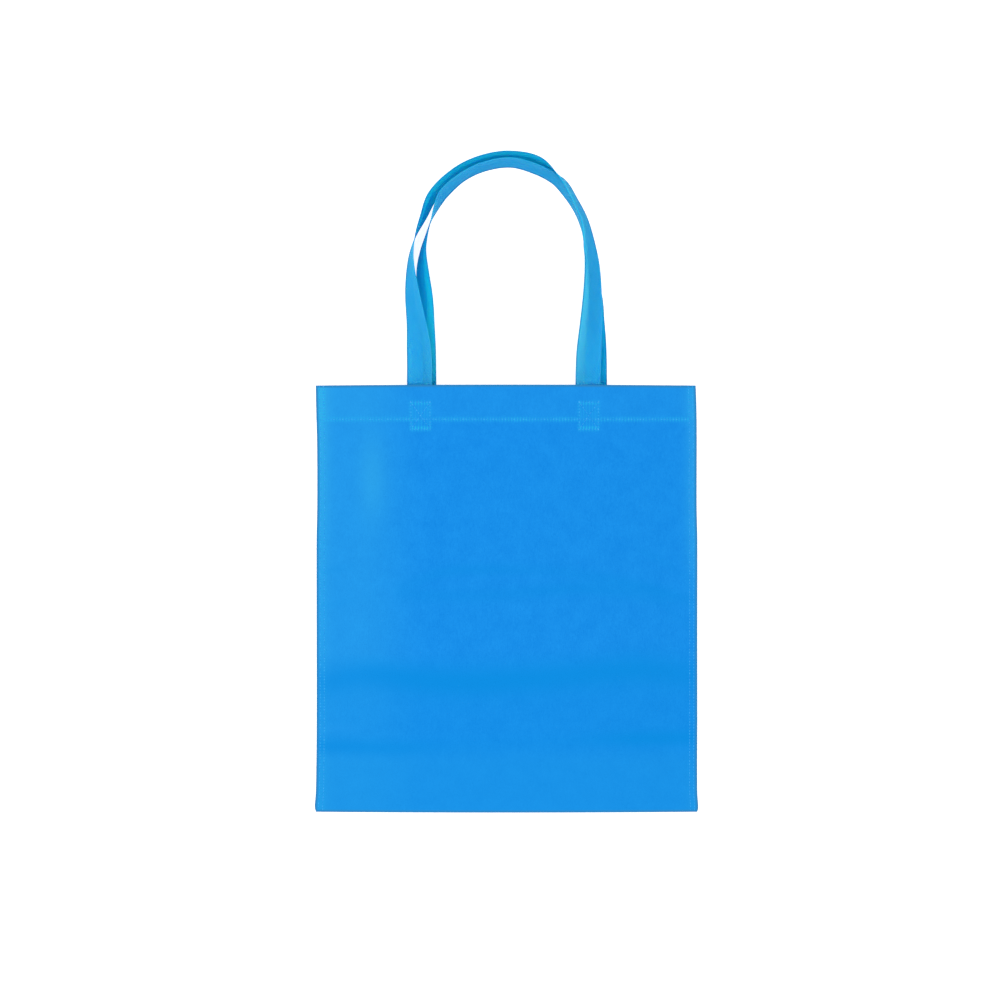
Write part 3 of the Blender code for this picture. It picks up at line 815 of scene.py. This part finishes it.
def make_strap(side, outer, inner):
    """A handle: a strip folded in three and pressed flat, along a smooth route."""
    path = smooth_route(strap_stations(side))
    out = 1 if side == "front" else -1
    section = strap_section()
    across_run = [0.0]
    for first, second in zip(section, section[1:]):
        across_run.append(across_run[-1] + math.hypot(second[0] - first[0], second[1] - first[1]))
    bm = bmesh.new()
    uv = bm.loops.layers.uv.new("flat")
    rim_and_edge_shade = bm.verts.layers.float.new("rim_and_edge_shade")
    pale_and_lit = bm.verts.layers.float.new("pale_and_lit")
    flat = {}
    rings = []
    run = 0.0
    for index, (place, lean) in enumerate(path):
        before, after = path[max(index - 1, 0)][0], path[min(index + 1, len(path) - 1)][0]
        along = (after - before).normalized()
        inward = Vector((along.y, -along.x, 0)).normalized()
        width = inward * math.cos(lean) + Vector((0, 0, math.sin(lean)))
        width = (width - along * width.dot(along)).normalized()
        outward = width.cross(along) * out
        dense = RIM_WIDTH / max(abs(math.cos(lean)), RIM_SLOPE)
        swapped = place.x > 0 and place.y - MOUTH_Y < CROSSING
        neighbour = -out if swapped else out
        if index:
            run += (place - path[index - 1][0]).length
        ring = []
        for (across, rise, _), around in zip(section, across_run):
            vert = bm.verts.new(place + width * across + outward * rise)
            # Darker rim at the strap's edges: partly the denser fold, partly painted edge shade
            vert[rim_and_edge_shade] = smooth_step(0.0, dense, abs(across) + dense - STRAP_WIDTH / 2 + STRIP_PITCH)
            if across * math.cos(lean) * neighbour > 0:
                vert[rim_and_edge_shade] *= NESTED_RIM
            # Painted light on the strap's feet, strongest at the mouth
            vert[pale_and_lit] = FOOT_PAINTED_LIGHT * (1 - smooth_step(0.0, FOOT_LIGHT_REACH, place.y - MOUTH_Y))
            flat[vert] = (around, run)
            ring.append(vert)
        rings.append(ring)
    total = len(section)
    for ring, following in zip(rings, rings[1:]):
        for corner in range(total):
            after = (corner + 1) % total
            quad = bm.faces.new((ring[corner], ring[after], following[after], following[corner]))
            quad.material_index = 0 if section[corner][2] and section[after][2] else 1
    for ring in (rings[0], rings[-1]):
        bm.faces.new(ring)
    for quad in bm.faces:
        for corner in quad.loops:
            corner[uv].uv = flat[corner.vert]
    bmesh.ops.recalc_face_normals(bm, faces=bm.faces)
    mesh = bpy.data.meshes.new(side + "_strap")
    bm.to_mesh(mesh)
    bm.free()
    mesh.shade_smooth()
    mesh.set_sharp_from_angle(angle=math.radians(60))
    strap = new_object(side + "_strap", mesh, outer, inner)
    return dress(strap, "blue_nonwoven_strap", side + "_handle")


# Stitches

def stitch_tree(thread):
    """Geometry Nodes tree that lays separate stitches along a row."""
    tree = bpy.data.node_groups.new("stitch_row", "GeometryNodeTree")
    face = tree.interface
    face.new_socket("Row", in_out="INPUT", socket_type="NodeSocketGeometry")
    for name, value in (("Pitch", 0.003), ("Stitch Length", 0.0023), ("Thread Radius", 0.0003),
                        ("Wander", 0.12)):
        socket = face.new_socket(name, in_out="INPUT", socket_type="NodeSocketFloat")
        socket.default_value = value
    seed = face.new_socket("Seed", in_out="INPUT", socket_type="NodeSocketInt")
    seed.default_value = 7
    face.new_socket("Stitches", in_out="OUTPUT", socket_type="NodeSocketGeometry")
    given = add(tree, "NodeGroupInput")
    curve = add(tree, "GeometryNodeMeshToCurve", {}, {"Mesh": given.outputs["Row"]})
    spaced = add(tree, "GeometryNodeResampleCurve", {"mode": "LENGTH"},
                 {"Curve": curve.outputs["Curve"], "Length": given.outputs["Pitch"]})
    bead = add(tree, "GeometryNodeMeshUVSphere", {"Segments": 8, "Rings": 6, "Radius": 1.0})
    tangent = add(tree, "GeometryNodeInputTangent")
    aim = add(tree, "FunctionNodeAlignRotationToVector", {"axis": "Z"},
              {"Vector": tangent.outputs["Tangent"]})
    low = add(tree, "ShaderNodeMath", {"operation": "MULTIPLY", 1: -1.0},
              {0: given.outputs["Wander"]})
    wander = add(tree, "FunctionNodeRandomValue", {"data_type": "FLOAT"},
                 {2: low.outputs["Value"], 3: given.outputs["Wander"],
                  "Seed": given.outputs["Seed"]})
    tilt = add(tree, "ShaderNodeCombineXYZ", {}, {"Z": wander.outputs[1]})
    swing = add(tree, "FunctionNodeEulerToRotation", {}, {"Euler": tilt.outputs["Vector"]})
    turned = add(tree, "FunctionNodeRotateRotation", {"rotation_space": "GLOBAL"},
                 {"Rotation": aim.outputs["Rotation"], "Rotate By": swing.outputs["Rotation"]})
    half = add(tree, "ShaderNodeMath", {"operation": "MULTIPLY", 1: 0.5},
               {0: given.outputs["Stitch Length"]})
    size = add(tree, "ShaderNodeCombineXYZ", {},
               {"X": given.outputs["Thread Radius"], "Y": given.outputs["Thread Radius"],
                "Z": half.outputs["Value"]})
    laid = add(tree, "GeometryNodeInstanceOnPoints", {},
               {"Points": spaced.outputs["Curve"], "Instance": bead.outputs["Mesh"],
                "Rotation": turned.outputs["Rotation"], "Scale": size.outputs["Vector"]})
    real = add(tree, "GeometryNodeRealizeInstances", {}, {"Geometry": laid.outputs["Instances"]})
    smooth = add(tree, "GeometryNodeSetShadeSmooth", {}, {"Geometry": real.outputs["Geometry"]})
    dyed = add(tree, "GeometryNodeSetMaterial", {"Material": thread},
               {"Geometry": smooth.outputs["Geometry"]})
    add(tree, "NodeGroupOutput", {}, {"Stitches": dyed.outputs["Geometry"]})
    return tree


def lay_stitches(name, tree, rows, nodes, sizes):
    """One piece of stitches along one or more rows of points."""
    points = [point for row in rows for point in row]
    edges = []
    start = 0
    for row in rows:
        edges += [(start + step, start + step + 1) for step in range(len(row) - 1)]
        start += len(row)
    guide_mesh = bpy.data.meshes.new(name + "_guide")
    guide_mesh.from_pydata(points, edges, [])
    guide = new_object(name + "_guide", guide_mesh)
    sewing = guide.modifiers.new("stitches", "NODES")
    sewing.node_group = tree
    sockets = {item.name: item.identifier for item in tree.interface.items_tree
               if item.in_out == "INPUT"}
    for key, value in sizes.items():
        sewing[sockets[key]] = value
    evaluated = guide.evaluated_get(bpy.context.evaluated_depsgraph_get())
    mesh = bpy.data.meshes.new_from_object(evaluated)
    mesh.name = name
    guide.modifiers.remove(sewing)
    bpy.data.objects.remove(guide, do_unlink=True)
    return dress(new_object(name, mesh), "blue_polyester_thread", *nodes)


# Radius of a drawn stitch. A real thread is 0.4 mm thick, and is drawn 0.72 mm thick so
# that it shows.
DRAWN_THREAD = 0.00036
STITCH_RISE = 0.00012
# Points along a row: how far apart, and for a box's lines as a share of the line
ROW_STEP = 0.003
BOX_STEP = 0.1
# Pitch and length of the stitches in each kind of row, and the seed of its first piece
STITCHES = {"seam": (0.0030, 0.0022, 11), "hem": (0.0030, 0.0024, 31),
            "box": (0.0031, 0.0023, 51)}


def sew(tree, kind, node, rows, done):
    """The stitches of one thread, where done pieces of its kind have come before it."""
    pitch, length, seed = STITCHES[kind]
    sizes = {"Pitch": pitch, "Stitch Length": length, "Thread Radius": DRAWN_THREAD,
             "Seed": done + seed}
    return lay_stitches(node.replace("thread", "stitches"), tree, rows, [node], sizes)


def sew_seams(tree):
    """Two rows down each side, with a thread on each face."""
    pieces = []
    top = MOUTH_Y - EDGE_BOW - SEAM_END
    low = BOTTOM_Y + EDGE_BOW + SEAM_END
    for hand, sign in (("left", -1), ("right", 1)):
        for row, inset in SEAM_ROWS.items():
            for side in ("front", "back"):
                x = sign * (HALF_WIDTH - inset)
                points = [panel_surface(side, x, y, FABRIC / 2 + STITCH_RISE)
                          for y in spread(low, top, ROW_STEP)]
                node = f"{hand}_seam_{row}_thread_{side}"
                pieces.append(sew(tree, "seam", node, [points], len(pieces)))
    return pieces


def sew_hems(tree):
    """One row along each hem, with a thread outside and one in the mouth."""
    pieces = []
    reach = HALF_WIDTH - SEAM_FLAT - SEAM_END
    y = MOUTH_Y - HEM_ROW
    outside = FABRIC / 2 + STITCH_RISE
    inside = -(LAYER + FABRIC / 2 + STITCH_RISE)
    for side in ("front", "back"):
        for face, ends, rise in (("outside", reach, outside),
                                 ("inside", reach - HEM_DEPTH, inside)):
            points = [panel_surface(side, x, y, rise) for x in spread(-ends, ends, ROW_STEP)]
            node = f"{side}_hem_thread_{face}"
            pieces.append(sew(tree, "hem", node, [points], len(pieces)))
    return pieces


def sew_boxes(tree):
    """A crossed box at each strap end, with a thread outside and one inside."""
    pieces = []
    half_width, half_height = BOX_WIDTH / 2, BOX_HEIGHT / 2
    corners = [(-half_width, -half_height), (half_width, -half_height), (half_width, half_height),
               (-half_width, half_height)]
    lines = [(corners[0], corners[1]), (corners[1], corners[2]), (corners[2], corners[3]),
             (corners[3], corners[0]), (corners[0], corners[2]), (corners[1], corners[3])]
    y_middle = MOUTH_Y - BOX_TOP - half_height
    outside = FABRIC / 2 + STITCH_RISE
    inside = -(STRAP_SEAT + STRAP_THICKNESS / 2 + STITCH_RISE)
    for side in ("front", "back"):
        for hand, station in (("left", ROUTES[side][0]), ("right", ROUTES[side][-1])):
            x_middle = box_middle(side, station)
            for face, rise in (("outside", outside), ("inside", inside)):
                rows = []
                for (x_from, y_from), (x_to, y_to) in lines:
                    rows.append([panel_surface(side, x_middle + x_from + (x_to - x_from) * share,
                                               y_middle + y_from + (y_to - y_from) * share, rise)
                                 for share in spread(0.0, 1.0, BOX_STEP)])
                node = f"{side}_{hand}_box_thread_{face}"
                pieces.append(sew(tree, "box", node, rows, len(pieces)))
    return pieces


# Camera, floor and light

CAMERA_HEIGHT = 10.0
VIEW_WIDTH = 1.0
SENSOR = 36.0
VIEW_CENTRE = (-0.007, -0.0185)


def make_camera():
    """A long lens straight above the bag, so that the outline is seen without perspective."""
    data = bpy.data.cameras.new("camera")
    data.sensor_width = SENSOR
    data.lens = SENSOR * CAMERA_HEIGHT / VIEW_WIDTH
    data.clip_end = CAMERA_HEIGHT * 10
    camera = bpy.data.objects.new("camera", data)
    camera.location = (*VIEW_CENTRE, CAMERA_HEIGHT)
    bpy.context.scene.collection.objects.link(camera)
    bpy.context.scene.camera = camera


FLOOR_HALF = 9.0
FLOOR_DROP = 0.0004


def make_floor():
    mesh = bpy.data.meshes.new("floor")
    corners = [(x * FLOOR_HALF, y * FLOOR_HALF, -FLOOR_DROP)
               for x, y in ((-1, -1), (1, -1), (1, 1), (-1, 1))]
    mesh.from_pydata(corners, [], [(0, 1, 2, 3)])
    new_object("floor", mesh, paper_floor("white_paper"))


WORLD_LIGHT = 0.97
KEY_PLACE = Vector((-1.6, -1.3, 1.7))
KEY_SIZE = 1.4
KEY_POWER = 7.0


def make_light():
    """Soft light from all round and one large soft panel from the lower left."""
    world = bpy.data.worlds.new("studio")
    bpy.context.scene.world = world
    world.use_nodes = True
    tree = world.node_tree
    tree.nodes.clear()
    strength = add(tree, "ShaderNodeMix", {"data_type": "FLOAT", 2: WORLD_LIGHT, 3: 1.0},
                   {0: bare_ray(tree).outputs["Value"]})
    sky = add(tree, "ShaderNodeBackground", {"Color": (1.0, 1.0, 1.0, 1.0)},
              {"Strength": strength.outputs[0]})
    add(tree, "ShaderNodeOutputWorld", {}, {"Surface": sky.outputs["Background"]})
    data = bpy.data.lights.new("key", "AREA")
    data.energy = KEY_POWER
    data.size = KEY_SIZE
    key = bpy.data.objects.new("key", data)
    key.location = KEY_PLACE
    key.rotation_euler = KEY_PLACE.to_track_quat("Z", "Y").to_euler()
    bpy.context.scene.collection.objects.link(key)


def main():
    make_camera()
    make_floor()
    make_light()
    fabric = spunbond("spunbond_polypropylene_blue", "#0A87E3", "#1693EC", "#34B0E8", "#008CE1",
                      "#2B86C4", 0.72, 0.0)
    # The same web folded in three for the straps: the outer face is pressed a little
    # smoother, and the inner face is a copy painted more like teal, as painted shade on the
    # faces that turn in towards the bag
    strap_outer = spunbond("spunbond_strap_outer_blue", "#189ADC", "#26A1E6", "#24AAFC", "#189AE0",
                           "#0E68B0", 0.66, 1.0)
    strap_inner_shaded = spunbond("spunbond_strap_inner_shaded_teal", "#049EEA", "#08A6F2", "#0AAAF4", "#0496D4",
                           "#0872B4", 0.75, 1.0)
    thread = polyester_thread("polyester_thread_blue", "#2AA6F2", "#45B8FC")
    sheet = make_sheet(fabric)
    straps = {side: make_strap(side, strap_outer, strap_inner_shaded) for side in ("front", "back")}
    tree = stitch_tree(thread)
    stitches = sew_seams(tree) + sew_hems(tree) + sew_boxes(tree)
    bpy.context.scene.view_settings.view_transform = "Standard"


main()
